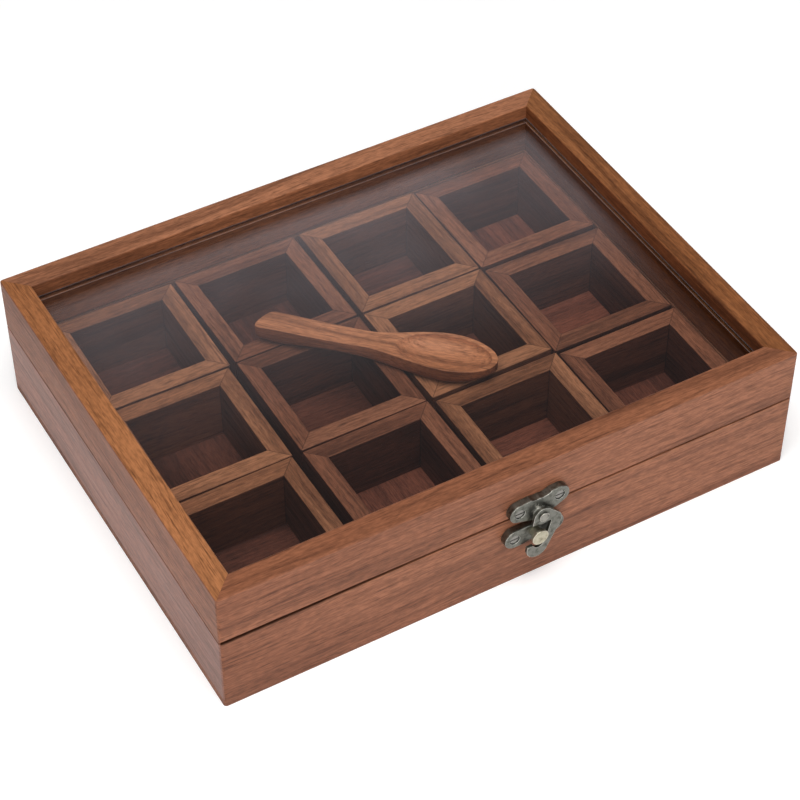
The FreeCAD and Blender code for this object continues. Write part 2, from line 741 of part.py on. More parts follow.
# the leaves' own countersinks, cut once the screws' cone is known
for leafCut, turn, level in ((baseLeaf, "0", "-faceClear / 2"), (lidLeaf, "180", "faceClear / 2")):
    sinks = [copyOf(headCone, f"{leafCut.Name}Sink{i}", f"{shift}leafScrewApart / 2", "-leafScrewIn",
                    level + (" - leafThick" if turn == "0" else " + leafThick"), turn, Vector(1, 0, 0))
             for i, shift in enumerate("-+")]
    leafCut.Tool.Links = leafCut.Tool.Links + sinks

# ---- boards as they are kept, with their holes and recesses

for side in ("left", "right"):
    node(walls[side], f"base_{side}_wall")
    node(rails[side], f"lid_{side}_rail")

postHole = forward("PostHole", "postRound", "screwLength + 2", "keeperRight", "frontFace + screwLength",
                   "postHeight")
keeperPilots = pilotHoles("KeeperPilots", "keeperRight", "keeperHeight", "0")
frontCuts = compound("FrontWallCuts", [keeperPilots, postHole])
node(cut("FrontWallCut", walls["front"], frontCuts), "base_front_wall")
latchPilots = pilotHoles("LatchPilots", "latchRight", "latchPlateHeight", "latchTilt")
node(cut("FrontRailCut", rails["front"], latchPilots), "lid_front_rail")
for master, sign, board, label in (
    (recess("BaseRecess", "-"), "-", walls["back"], "base_back_wall"),
    (recess("LidRecess", "+"), "+", rails["back"], "lid_back_rail"),
):
    cuts = compound(label + "_cuts", [
        copyOf(master, f"{label}_{side}", right, "hingeBack", "hingeUp") for side, right in hingeSpots
    ])
    node(cut(label + "_cut", board, cuts), label)

# ---- check and write

doc.recompute()
for thing in doc.Objects:
    if "Invalid" in thing.State or "Error" in thing.State:
        raise RuntimeError(f"{thing.Name} failed: {thing.State}")
os.makedirs("parts", exist_ok=True)
for thing in nodes:
    shape = thing.Shape
    if shape.isNull() or not shape.isValid() or not shape.Solids:
        raise RuntimeError(f"{thing.Label} has no valid solid")
for thing in nodes:
    thing.Shape.exportStep(f"parts/{thing.Label}.step")
    print(f"{thing.Label}: {len(thing.Shape.Solids)} solid(s), {thing.Shape.Volume / 1000:.2f} cm3")
print(len(nodes), "nodes")
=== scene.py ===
import math

import bmesh
import bpy
from mathutils import Matrix, Vector


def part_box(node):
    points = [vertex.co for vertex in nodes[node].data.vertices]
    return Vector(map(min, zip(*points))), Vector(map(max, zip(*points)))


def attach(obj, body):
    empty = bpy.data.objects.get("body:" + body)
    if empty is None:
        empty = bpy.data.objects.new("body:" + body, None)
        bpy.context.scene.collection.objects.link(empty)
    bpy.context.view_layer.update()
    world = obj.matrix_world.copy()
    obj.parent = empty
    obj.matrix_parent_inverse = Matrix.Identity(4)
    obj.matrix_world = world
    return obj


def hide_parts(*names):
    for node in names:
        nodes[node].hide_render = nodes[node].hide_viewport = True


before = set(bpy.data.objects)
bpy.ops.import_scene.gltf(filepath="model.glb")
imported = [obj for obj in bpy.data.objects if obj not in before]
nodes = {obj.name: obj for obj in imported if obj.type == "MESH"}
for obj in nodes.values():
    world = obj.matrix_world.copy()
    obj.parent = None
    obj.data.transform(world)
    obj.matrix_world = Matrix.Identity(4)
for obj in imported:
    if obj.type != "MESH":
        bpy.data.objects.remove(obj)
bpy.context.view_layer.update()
mm = 0.001  # the scene is in metres, and sizes a maker would quote are in millimetres
scene = bpy.context.scene
print("frame loaded:", len(nodes), "pieces of the box")


# camera, lamps and table

cameraPlace = {
    "lens": 106.563,
    "location": (-0.40456, -0.71896, 0.84222),
    "aim": (-0.00690, -0.01933, 0.03600),
    "roll": 0.19,  # degrees, clockwise as the camera sees it
}


def placeCamera():
    lens = bpy.data.cameras.new("camera")
    lens.lens = cameraPlace["lens"]
    camera = bpy.data.objects.new("camera", lens)
    scene.collection.objects.link(camera)
    start = Vector(cameraPlace["location"])
    ahead = (Vector(cameraPlace["aim"]) - start).normalized()
    right = ahead.cross(Vector((0, 0, 1))).normalized()
    up = right.cross(ahead)
    roll = math.radians(cameraPlace["roll"])
    leanRight = right * math.cos(roll) - up * math.sin(roll)
    leanUp = up * math.cos(roll) + right * math.sin(roll)
    turn = Matrix((leanRight, leanUp, -ahead)).transposed().to_4x4()
    camera.matrix_world = Matrix.Translation(start) @ turn
    scene.camera = camera


lampPlaces = {  # name: (place, where it points, width, watts, colour)
    "overhead": ((-0.20, -0.35, 1.55), (0.0, 0.0, 0.0), 1.2, 26.0, (1.0, 0.985, 0.96)),
    "frontLeft": ((-0.75, -1.40, 0.70), (0.0, 0.0, 0.03), 0.9, 9.0, (1.0, 0.99, 0.98)),
}


def hangLamp(name):
    place, target, width, watts, colour = lampPlaces[name]
    lamp = bpy.data.lights.new(name, "AREA")
    lamp.size = width
    lamp.energy = watts
    lamp.color = colour
    holder = bpy.data.objects.new(name, lamp)
    holder.location = place
    holder.rotation_mode = "QUATERNION"
    holder.rotation_quaternion = (Vector(target) - Vector(place)).to_track_quat("-Z", "Y")
    holder.visible_camera = False
    scene.collection.objects.link(holder)


# shader helpers

def rgba(colour, strength=1.0):
    return tuple(part * strength for part in colour) + (1.0,)


# one node; each input is a number, a colour or another node's output
def put(tree, kind, inputs=None, **settings):
    made = tree.nodes.new("ShaderNode" + kind)
    for name, setting in settings.items():
        setattr(made, name, setting)
    for socket, given in (inputs or {}).items():
        if isinstance(given, bpy.types.NodeSocket):
            tree.links.new(given, made.inputs[socket])
        else:
            made.inputs[socket].default_value = given
    return made


def calc(tree, operation, first, second=0.0):
    return put(tree, "Math", {0: first, 1: second}, operation=operation).outputs[0]


def calcVector(tree, operation, first, second):
    slot = "Scale" if operation == "SCALE" else 1
    made = put(tree, "VectorMath", {0: first, slot: second}, operation=operation)
    return made.outputs["Value" if operation == "DOT_PRODUCT" else "Vector"]


def scaled(tree, vector, along, across):  # stretches a pattern along x
    return calcVector(tree, "MULTIPLY", vector, (along, across, across))


def spread(tree, number, low, high, newLow=0.0, newHigh=1.0):
    wanted = {
        "Value": number, "From Min": low, "From Max": high, "To Min": newLow, "To Max": newHigh}
    return put(tree, "MapRange", wanted, interpolation_type="SMOOTHSTEP").outputs[0]


def blendColours(tree, share, first, second):
    mixer = put(tree, "Mix", {0: share, 6: first, 7: second}, data_type="RGBA")
    return mixer.outputs[2]


def noise(tree, vector, detail=2.0, rough=0.5, scale=1.0):
    wanted = {"Vector": vector, "Scale": scale, "Detail": detail, "Roughness": rough}
    return put(tree, "TexNoise", wanted).outputs[0]


def newGroup(name, inputs, outputs):
    tree = bpy.data.node_groups.new(name, "ShaderNodeTree")
    for label, kind in inputs:
        tree.interface.new_socket(label, in_out="INPUT", socket_type="NodeSocket" + kind)
    for label, kind in outputs:
        tree.interface.new_socket(label, in_out="OUTPUT", socket_type="NodeSocket" + kind)
    given = tree.nodes.new("NodeGroupInput").outputs
    wanted = tree.nodes.new("NodeGroupOutput").inputs
    return tree, given, wanted


def newMaterial(name):
    material = bpy.data.materials.new(name)
    material.use_nodes = True
    tree = material.node_tree
    tree.nodes.clear()
    output = tree.nodes.new("ShaderNodeOutputMaterial")
    return material, tree, output.inputs["Surface"]


def placeShape(name, shape):  # turns a finished bmesh into an object of the scene
    mesh = bpy.data.meshes.new(name)
    shape.to_mesh(mesh)
    shape.free()
    piece = bpy.data.objects.new(name, mesh)
    scene.collection.objects.link(piece)
    return piece


# wood

grainSizes = {  # how often each mark repeats in a metre: along the grain, across it
    "bend": (7.0, 16.0),
    "figure": (2.4, 30.0),
    "zone": (1.8, 12.0),
    "fibre": (17.0, 520.0),
    "hair": (50.0, 1500.0),
    "pore": (120.0, 1500.0),
    "fleck": (210.0, 950.0),
}
grainMarks = {
    "bendBy": 9 * mm,  # how far the grain wanders off straight
    "rings": 8.0,  # bands of dark vein in one swing of the figure
    "zoneFrom": 0.36,  # from the body colour to the light one
    "zoneTo": 0.64,
    "veinFrom": 0.45,
    "darkFrom": 0.50,
    "darkTo": 0.72,
    "lightFrom": 0.48,
    "lightTo": 0.28,
    "threadFrom": 0.52,
    "threadTo": 0.75,
    "poreFrom": 0.60,
    "poreTo": 0.70,
    "poreColour": (0.012, 0.005, 0.003),
    "poreDeep": 0.55,  # how far a pore goes from the vein's colour to that
    "fleckDark": 0.80,  # short flecks darken and lighten everything by this
    "fleckLight": 1.20,
    "fibreHeight": 0.5,  # of each mark in the relief
    "hairHeight": 0.35,
    "poreDepth": 0.5,
    "relief": 0.25 * mm,
    "reliefShows": 0.45,
    "dullFibre": 0.22,  # added roughness
    "dullPore": 0.15,
}


def makeGrain():
    marks = grainMarks
    tree, given, wanted = newGroup(
        "sheeshamGrain",
        (("Place", "Vector"), ("Dark", "Color"), ("Middle", "Color"), ("Light", "Color"),
         ("Veins", "Float"), ("Fibres", "Float"), ("Pores", "Float"), ("Gloss", "Float")),
        (("Color", "Color"), ("Roughness", "Float"), ("Normal", "Vector")))
    long = scaled(tree, given["Place"], *grainSizes["bend"])
    bend = put(tree, "TexNoise", {"Vector": long, "Scale": 1.0}).outputs["Color"]
    shift = calcVector(tree, "SUBTRACT", bend, (0.5, 0.5, 0.5))
    shift = calcVector(tree, "SCALE", shift, marks["bendBy"])
    place = calcVector(tree, "ADD", given["Place"], shift)

    def pattern(name, detail, rough=0.5):
        return noise(tree, scaled(tree, place, *grainSizes[name]), detail, rough)

    def streaks(mark, low, high, share, colour, ink):
        shown = calc(tree, "MULTIPLY", spread(tree, mark, low, high), given[share])
        return blendColours(tree, shown, colour, given[ink])

    zone = spread(tree, pattern("zone", 1.0), marks["zoneFrom"], marks["zoneTo"])
    figure = calc(tree, "MULTIPLY", pattern("figure", 2.0), marks["rings"])
    figure = calc(tree, "PINGPONG", figure, 1.0)
    fibre = pattern("fibre", 3.0, 0.65)
    hair = pattern("hair", 2.0, 0.6)
    pore = spread(tree, pattern("pore", 1.0), marks["poreFrom"], marks["poreTo"])
    pore = calc(tree, "MULTIPLY", pore, given["Pores"])
    colour = blendColours(tree, zone, given["Middle"], given["Light"])
    colour = streaks(figure, marks["veinFrom"], 1.0, "Veins", colour, "Dark")
    colour = streaks(fibre, marks["darkFrom"], marks["darkTo"], "Fibres", colour, "Dark")
    colour = streaks(fibre, marks["lightFrom"], marks["lightTo"], "Fibres", colour, "Light")
    colour = streaks(hair, marks["threadFrom"], marks["threadTo"], "Fibres", colour, "Dark")
    deep = blendColours(tree, marks["poreDeep"], given["Dark"], rgba(marks["poreColour"]))
    colour = blendColours(tree, pore, colour, deep)
    fleck = pattern("fleck", 2.0, 0.6)
    fleck = spread(tree, fleck, 0.30, 0.70, marks["fleckDark"], marks["fleckLight"])
    colour = calcVector(tree, "SCALE", colour, fleck)
    fibreHeight = calc(tree, "MULTIPLY", fibre, marks["fibreHeight"])
    hairHeight = calc(tree, "MULTIPLY", hair, marks["hairHeight"])
    height = calc(tree, "ADD", fibreHeight, hairHeight)
    height = calc(tree, "SUBTRACT", height, calc(tree, "MULTIPLY", pore, marks["poreDepth"]))
    bump = put(tree, "Bump", {
        "Strength": marks["reliefShows"], "Distance": marks["relief"], "Height": height})
    dullFibre = calc(tree, "MULTIPLY", fibre, marks["dullFibre"])
    dullPore = calc(tree, "MULTIPLY", pore, marks["dullPore"])
    dull = calc(tree, "ADD", calc(tree, "ADD", dullFibre, dullPore), given["Gloss"])
    for label, socket in (("Color", colour), ("Roughness", dull), ("Normal", bump.outputs[0])):
        tree.links.new(socket, wanted[label])
    return tree


mitre = {
    "sideOffset": 0.61,  # so that no board carries on its neighbour's grain
    "farOffset": 0.27,
    "glueLine": 0.45 * mm,  # half width of the dark joint, fading from its middle
    "glueMiddle": 0.1 * mm,
    "glueShows": 0.6,
    "glueDark": 0.6,  # of the dark vein's colour
}


def makeMitre():  # turns the grain to run round a square box, and marks the joints at its corners
    tree, given, wanted = newGroup(
        "mitredRound", (("Place", "Vector"),), (("Place", "Vector"), ("Joint", "Float")))
    parts = put(tree, "SeparateXYZ", {0: given["Place"]}).outputs
    wide = calc(tree, "ABSOLUTE", parts[0])
    deep = calc(tree, "ABSOLUTE", parts[1])
    side = calc(tree, "GREATER_THAN", wide, deep)
    turned = put(tree, "CombineXYZ", {0: parts[1], 1: parts[0], 2: parts[2]}).outputs[0]
    chosen = put(tree, "Mix", {0: side, 4: given["Place"], 5: turned}, data_type="VECTOR")
    far = calc(tree, "GREATER_THAN", calc(tree, "ADD", parts[0], parts[1]), 0.0)
    board = calc(tree, "ADD", calc(tree, "MULTIPLY", side, mitre["sideOffset"]),
                 calc(tree, "MULTIPLY", far, mitre["farOffset"]))
    chosen = calcVector(tree, "ADD", chosen.outputs[1], board)
    gap = calc(tree, "ABSOLUTE", calc(tree, "SUBTRACT", wide, deep))
    joint = spread(tree, gap, mitre["glueLine"], mitre["glueMiddle"])
    tree.links.new(chosen, wanted["Place"])
    tree.links.new(joint, wanted["Joint"])
    return tree


sheesham = makeGrain()
mitred = makeMitre()

tones = {  # dark vein, body, light streak
    "front": ((0.065, 0.021, 0.011), (0.195, 0.071, 0.036), (0.285, 0.113, 0.060)),
    "side": ((0.062, 0.022, 0.013), (0.150, 0.056, 0.034), (0.215, 0.086, 0.054)),
    "honey": ((0.080, 0.024, 0.007), (0.270, 0.098, 0.034), (0.370, 0.146, 0.056)),
    "russet": ((0.080, 0.026, 0.012), (0.255, 0.100, 0.048), (0.350, 0.145, 0.074)),
    "panel": ((0.065, 0.022, 0.012), (0.175, 0.063, 0.033), (0.235, 0.092, 0.050)),
    "cup": ((0.060, 0.018, 0.008), (0.205, 0.078, 0.037), (0.310, 0.128, 0.064)),
    "cupRed": ((0.055, 0.016, 0.008), (0.195, 0.068, 0.036), (0.290, 0.112, 0.061)),
    "cupFloor": ((0.030, 0.008, 0.005), (0.090, 0.026, 0.016), (0.150, 0.046, 0.027)),
    "spoon": ((0.130, 0.042, 0.018), (0.380, 0.140, 0.062), (0.490, 0.200, 0.098)),
}


facingLightTurn = {"from": 0.35, "to": 0.85}  # how squarely a face looks that way, as a cosine


# painted light and shade: one tint on the faces that look one way, another on the rest, standing in
# for how the lamps light each side
def paintFacingLight(tree, colour, way, toward, away):
    share = calcVector(tree, "DOT_PRODUCT", put(tree, "TexCoord").outputs["Normal"], way)
    share = spread(tree, share, facingLightTurn["from"], facingLightTurn["to"])
    tint = blendColours(tree, share, rgba(away), rgba(toward))
    return calcVector(tree, "MULTIPLY", colour, tint)


seamShade = {  # painted shadow in the gap where lid and base meet
    "height": (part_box("base_front_wall")[1].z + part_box("lid_front_rail")[0].z) / 2,
    "wideUpTo": -150 * mm,  # it narrows from here
    "narrowFrom": 20 * mm,  # to here, left to right
    "solid": 0.3,  # the share of its half width that is fully dark
    "dark": 0.25,
}


def shadeSeam(tree, colour, left, right):  # its half width at the left and the right end
    parts = put(tree, "SeparateXYZ", {0: put(tree, "TexCoord").outputs["Object"]}).outputs
    away = calc(tree, "ABSOLUTE", calc(tree, "SUBTRACT", parts[2], seamShade["height"]))
    reach = spread(tree, parts[0], seamShade["wideUpTo"], seamShade["narrowFrom"], left, right)
    share = spread(tree, calc(tree, "DIVIDE", away, reach), 1.0, seamShade["solid"])
    return blendColours(tree, share, colour, calcVector(tree, "SCALE", colour, seamShade["dark"]))


def woodMaterial(name, tone, turn=(0, 0, 0), seed=0.0, strength=1.0, veins=0.55, fibres=0.5,
                 pores=0.6, gloss=0.36, shine=0.18, middle=None, facingLight=None, seam=None):
    material, tree, surface = newMaterial(name)
    dark, body, light = tones[tone]
    here = put(tree, "TexCoord").outputs["Object"]
    away = (seed, seed * 0.7, seed * 1.3)  # each board is cut from another part of the plank
    if middle is None:
        place = put(tree, "Mapping", {"Vector": here, "Rotation": turn, "Location": away})
        place = place.outputs[0]
        joint = None
    else:  # a mitred cup: its own middle and turn, then round the four boards
        centre, swing = middle
        moved = Matrix.Rotation(-swing, 3, "Z") @ -Vector(centre)
        home = put(tree, "Mapping", {"Vector": here, "Rotation": (0, 0, -swing), "Location": moved})
        boards = put(tree, "Group", node_tree=mitred)
        tree.links.new(home.outputs[0], boards.inputs[0])
        joint = boards.outputs["Joint"]
        place = calcVector(tree, "ADD", boards.outputs["Place"], away)
    grain = put(tree, "Group", node_tree=sheesham)
    for label, given in (("Dark", rgba(dark, strength)), ("Middle", rgba(body, strength)),
                         ("Light", rgba(light, strength)), ("Veins", veins), ("Fibres", fibres),
                         ("Pores", pores), ("Gloss", gloss)):
        grain.inputs[label].default_value = given
    tree.links.new(place, grain.inputs["Place"])
    colour = grain.outputs["Color"]
    if joint is not None:
        shown = calc(tree, "MULTIPLY", joint, mitre["glueShows"])
        colour = blendColours(tree, shown, colour, rgba(dark, mitre["glueDark"] * strength))
    # painted light and shade, by which way a face looks
    if facingLight:
        colour = paintFacingLight(tree, colour, *facingLight)
    # painted shadow along the seam between lid and base
    if seam:
        colour = shadeSeam(tree, colour, *seam)
    shader = put(tree, "BsdfPrincipled", {
        "Base Color": colour, "Roughness": grain.outputs["Roughness"],
        "Normal": grain.outputs["Normal"], "Specular IOR Level": shine})
    tree.links.new(shader.outputs[0], surface)
    return material


def finish(name, material):
    nodes[name].material_slots[0].material = material


straight = (0, 0, 0)
quarter = (0, 0, math.pi / 2)
plain = (1.0, 1.0, 1.0)
up, toFront, toLeft = (0, 0, 1), (0, -1, 0), (-1, 0, 0)
boardLooks = {  # tone, grain turn, seed, strength, veins, fibres, pores, shine
    "lid_front_rail": ("front", straight, 0.13, 0.97, 0.42, 0.6, 0.25, 0.15),
    "lid_back_rail": ("russet", straight, 1.71, 0.95, 0.50, 0.6, 0.35, 0.15),
    "lid_left_rail": ("honey", quarter, 2.37, 0.90, 0.35, 0.7, 0.15, 0.15),
    "lid_right_rail": ("honey", quarter, 3.11, 0.77, 0.55, 0.6, 0.30, 0.12),
    "base_front_wall": ("front", straight, 12.6, 0.93, 0.40, 0.6, 0.20, 0.15),
    "base_back_wall": ("russet", straight, 5.29, 0.90, 0.55, 0.6, 0.40, 0.18),
    "base_left_wall": ("side", quarter, 6.17, 1.15, 0.40, 0.5, 0.20, 0.45),
    "base_right_wall": ("front", quarter, 7.83, 1.00, 0.50, 0.6, 0.30, 0.18),
}
boardFacingLight = {  # painted light and shade: the side that takes another tone, and its tint, darker where that side is in shade, and bluish on the left rail's outer face as a painted sheen
    "lid_front_rail": (up, (0.90, 0.86, 0.80), plain),
    "lid_back_rail": (toFront, (0.66, 0.58, 0.50), plain),
    "lid_left_rail": (toLeft, (0.69, 0.66, 0.88), plain),
    "lid_right_rail": (toLeft, (0.55, 0.44, 0.40), plain),
}
seamReach = {  # half width of the seam's shade, at the left and the right end
    "front": (1.3 * mm, 0.4 * mm),
    "others": (0.4 * mm, 0.4 * mm),
}


def finishBoards():
    for name, (tone, turn, seed, strength, veins, fibres, pores, shine) in boardLooks.items():
        seam = seamReach["front" if "front" in name else "others"]
        look = woodMaterial(name + "_sheesham", tone, turn, seed, strength, veins, fibres, pores,
                            gloss=0.38, shine=shine, facingLight=boardFacingLight.get(name), seam=seam)
        finish(name, look)
    panel = woodMaterial(
        "panel_stained", "panel", seed=8.3, veins=0.4, fibres=0.6, pores=0.2, gloss=0.5)
    finish("base_bottom_panel", panel)


cupLooks = {  # left to right, front row first
    "strengths": (  # how light each cup's wood is
        (1.12, 0.92, 1.12, 0.98),
        (1.15, 0.88, 1.08, 0.92),
        (1.08, 0.92, 1.08, 1.00)),
    "floorsLit": (  # and its floor's, with painted light on the floors the lamps reach and painted shade on the rest
        (0.8, 1.05, 1.15, 1.0),
        (0.7, 0.80, 0.90, 1.5),
        (0.8, 1.00, 1.00, 1.4)),
    "insideShade": (0.43, 0.35, 0.36),  # painted shade: how much the walls darken below their tops
    "turns": (  # degrees, as the loose cups stand
        (0.3, 0.3, -0.2, -0.4),
        (-0.5, -0.3, 0.2, -0.5),
        (-0.6, 0.3, -0.2, 0.15)),
}


def finishCups():
    for line, row in enumerate(("front", "middle", "back")):
        for column in range(4):
            cup = f"cup_{row}_{column + 1}"
            low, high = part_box(cup + "_walls")
            swing = math.radians(cupLooks["turns"][line][column])
            seed = 1.9 + 0.83 * line + 3.1 * column
            walls = woodMaterial(
                cup + "_wood", "cupRed" if column % 2 else "cup", seed=seed,
                strength=cupLooks["strengths"][line][column], veins=0.5, fibres=0.6, pores=0.35,
                gloss=0.45, middle=((low + high) / 2, swing), facingLight=(up, plain, cupLooks["insideShade"]))
            finish(cup + "_walls", walls)
            floor = woodMaterial(
                cup + "_floor_wood", "cupFloor", turn=quarter if (line + column) % 2 else straight,
                seed=seed + 0.4, strength=cupLooks["floorsLit"][line][column], pores=0.4, gloss=0.5)
            finish(cup + "_floor", floor)


# glass

pane = {
    "mirror": 0.035,  # how much each face mirrors, looked at squarely
    "mirrorEdge": 0.9,  # and along the glass
    "clearColour": (0.965, 0.975, 0.970),
    "mirrorColour": (0.98, 0.98, 1.00),
    "hazeFilmColour": (0.90, 0.83, 0.92),
    "dustHazeFront": 0.001,  # dust with painted reflection haze, as a diffuse film: how much there is on each face
    "dustHazeBack": 0.036,
    "dustHazeFrom": -50 * mm,  # along the box, front to back
    "dustHazeTo": 110 * mm,
    "dustHazeLeft": 0.82,  # and how much of that there is at the left and the right
    "dustHazeRight": 1.28,
    "filmEndsBack": 9.5 * mm,  # the film stops this far from the back rail
    "filmEndsRight": 6 * mm,
    "filmEndsEdge": 2 * mm,
    "filmEndsLeaves": 0.15,
    "cloud": 14.0,  # patches of the film, how many in a metre
    "cloudThin": 0.75,
    "cloudThick": 1.25,
    "halfLong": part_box("lid_right_rail")[0].x,  # of the opening in the lid
    "halfDeep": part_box("lid_back_rail")[0].y,
    "edgeGlint": 0.35 * mm,  # width of the thin painted highlight line round it
    "edgeGlintShows": 0.10,
}


def finishPane():
    material, tree, surface = newMaterial("pane_clear_glass")
    facing = put(tree, "LayerWeight", {"Blend": 0.5}).outputs["Facing"]
    grazing = calc(tree, "POWER", facing, 3.0)
    mirror = spread(tree, grazing, 0.0, 1.0, pane["mirror"], pane["mirrorEdge"])
    clear = put(tree, "BsdfTransparent", {"Color": rgba(pane["clearColour"])})
    gloss = put(tree, "BsdfGlossy", {"Color": rgba(pane["mirrorColour"]), "Roughness": 0.02})
    both = put(tree, "MixShader", {0: mirror, 1: clear.outputs[0], 2: gloss.outputs[0]})
    place = put(tree, "TexCoord").outputs["Object"]
    right, back, _ = put(tree, "SeparateXYZ", {0: place}).outputs
    # dust with painted reflection haze, more towards the back and the right
    dustAndHaze = spread(tree, back, pane["dustHazeFrom"], pane["dustHazeTo"], pane["dustHazeFront"], pane["dustHazeBack"])
    wide = pane["halfLong"]
    side = spread(tree, right, -wide, wide, pane["dustHazeLeft"], pane["dustHazeRight"])
    dustAndHaze = calc(tree, "MULTIPLY", dustAndHaze, side)
    backLimit = pane["halfDeep"] - pane["filmEndsBack"]
    rightLimit = pane["halfLong"] - pane["filmEndsRight"]
    edge = pane["filmEndsEdge"]
    for across, limit in ((back, backLimit), (right, rightLimit)):
        kept = spread(tree, across, limit - edge, limit + edge, 1.0, pane["filmEndsLeaves"])
        dustAndHaze = calc(tree, "MULTIPLY", dustAndHaze, kept)
    cloud = noise(tree, place, 3.0, 0.6, pane["cloud"])
    cloud = spread(tree, cloud, 0.3, 0.7, pane["cloudThin"], pane["cloudThick"])
    dustAndHaze = calc(tree, "MULTIPLY", dustAndHaze, cloud)
    # painted highlight along the edge of the opening
    for across, half in ((right, pane["halfLong"]), (back, pane["halfDeep"])):
        away = calc(tree, "ABSOLUTE", calc(tree, "SUBTRACT", calc(tree, "ABSOLUTE", across), half))
        edgeGlint = spread(tree, away, pane["edgeGlint"], pane["edgeGlint"] * 0.4, 0.0, pane["edgeGlintShows"])
        dustAndHaze = calc(tree, "MAXIMUM", dustAndHaze, edgeGlint)
    # a diffuse film standing in for dust and for the reflection haze
    hazeFilm = put(tree, "BsdfDiffuse", {"Color": rgba(pane["hazeFilmColour"])})
    whole = put(tree, "MixShader", {0: dustAndHaze, 1: both.outputs[0], 2: hazeFilm.outputs[0]})
    tree.links.new(whole.outputs[0], surface)
    finish("lid_glass", material)


# metal

patinaMarks = {
    "clouds": 420.0,  # in a metre
    "pits": 1500.0,
    "rubFrom": 0.54,  # how sharp an edge is where the rubbing starts and ends
    "rubTo": 0.60,
    "pitsBreakRub": 0.06,
    "hollowFrom": 0.49,
    "hollowTo": 0.42,
    "cloudFrom": 0.40,
    "cloudTo": 0.85,
    "roughness": 0.26,
    "pitsDull": 0.3,
    "rubShines": 0.12,
    "relief": 0.12 * mm,
    "reliefShows": 0.35,
}


def makePatina():
    marks = patinaMarks
    tree, given, wanted = newGroup(
        "antiquedMetal",
        (("Dark", "Color"), ("Middle", "Color"), ("Bright", "Color"), ("Wear", "Float")),
        (("Color", "Color"), ("Roughness", "Float"), ("Normal", "Vector")))
    place = put(tree, "TexCoord").outputs["Object"]
    cloud = noise(tree, place, 3.0, 0.6, marks["clouds"])
    cloud = spread(tree, cloud, marks["cloudFrom"], marks["cloudTo"])
    pits = noise(tree, place, 4.0, 0.7, marks["pits"])
    edge = put(tree, "NewGeometry").outputs["Pointiness"]
    broken = calc(tree, "ADD", edge, calc(tree, "MULTIPLY", pits, marks["pitsBreakRub"]))
    rubbed = spread(tree, broken, marks["rubFrom"], marks["rubTo"])
    rubbed = calc(tree, "MULTIPLY", rubbed, given["Wear"])
    hollow = spread(tree, edge, marks["hollowFrom"], marks["hollowTo"])
    colour = blendColours(tree, cloud, given["Middle"], given["Dark"])
    colour = blendColours(tree, hollow, colour, given["Dark"])
    colour = blendColours(tree, rubbed, colour, given["Bright"])
    dull = calc(tree, "ADD", calc(tree, "MULTIPLY", pits, marks["pitsDull"]), marks["roughness"])
    dull = calc(tree, "SUBTRACT", dull, calc(tree, "MULTIPLY", rubbed, marks["rubShines"]))
    bump = put(tree, "Bump", {
        "Strength": marks["reliefShows"], "Distance": marks["relief"], "Height": pits})
    for label, socket in (("Color", colour), ("Roughness", dull), ("Normal", bump.outputs[0])):
        tree.links.new(socket, wanted[label])
    return tree


patina = makePatina()

metals = {  # dark hollows, body, rubbed edges, wear
    "antique_bronze": ((0.036, 0.037, 0.028), (0.168, 0.169, 0.148), (0.78, 0.77, 0.71), 1.0),
    "screw_bronze": ((0.026, 0.026, 0.021), (0.095, 0.095, 0.083), (0.33, 0.32, 0.30), 0.6),
    "worn_bronze": ((0.100, 0.098, 0.084), (0.270, 0.262, 0.232), (0.80, 0.77, 0.70), 1.0),
    "spacer_bright": ((0.260, 0.255, 0.240), (0.740, 0.730, 0.690), (0.90, 0.88, 0.84), 1.0),
    "post_brass": ((0.160, 0.142, 0.085), (0.430, 0.405, 0.310), (0.84, 0.80, 0.68), 1.0),
    "hinge_brass": ((0.120, 0.080, 0.025), (0.430, 0.300, 0.120), (0.78, 0.62, 0.32), 0.9),
}


def metalMaterial(name):
    material, tree, surface = newMaterial(name + "_finish")
    dark, body, bright, wear = metals[name]
    group = put(tree, "Group", node_tree=patina)
    for label, given in (("Dark", rgba(dark)), ("Middle", rgba(body)),
                         ("Bright", rgba(bright)), ("Wear", wear)):
        group.inputs[label].default_value = given
    shader = put(tree, "BsdfPrincipled", {
        "Base Color": group.outputs["Color"], "Roughness": group.outputs["Roughness"],
        "Normal": group.outputs["Normal"], "Metallic": 1.0})
    tree.links.new(shader.outputs[0], surface)
    return material


metalLooks = {name: metalMaterial(name) for name in metals}

castPieces = {  # piece: (node it stands for, body, metal, cell in mm, rounds of smoothing)
    "latch_plate_cast": ("latch_plate", "lid", "antique_bronze", 0.16, 7),
    "keeper_plate_cast": ("keeper_plate", "base", "antique_bronze", 0.16, 7),
    "latch_hook_cast": ("latch_hook", "hook", "antique_bronze", 0.13, 6),
    "keeper_post_cast": ("keeper_post", "base", "post_brass", 0.12, 6),
    "latch_rivet_cast": ("latch_rivet", "lid", "worn_bronze", 0.10, 5),
}


def castPiece(name):  # the machined shape with its edges softened, as a casting has them
    node, body, metal, cell, rounds = castPieces[name]
    shape = bmesh.new()
    shape.from_mesh(nodes[node].data)
    bmesh.ops.remove_doubles(shape, verts=shape.verts, dist=0.001 * mm)
    piece = placeShape(name, shape)
    cells = piece.modifiers.new("cells", "REMESH")
    cells.mode = "VOXEL"
    cells.voxel_size = cell * mm
    soften = piece.modifiers.new("soften", "SMOOTH")
    soften.factor = 0.5
    soften.iterations = rounds
    settled = piece.evaluated_get(bpy.context.evaluated_depsgraph_get())
    ready = bpy.data.meshes.new_from_object(settled)
    piece.modifiers.clear()
    piece.data = ready
    ready.name = name
    ready.shade_smooth()
    ready.materials.clear()
    ready.materials.append(metalLooks[metal])
    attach(piece, body)
    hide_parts(node)


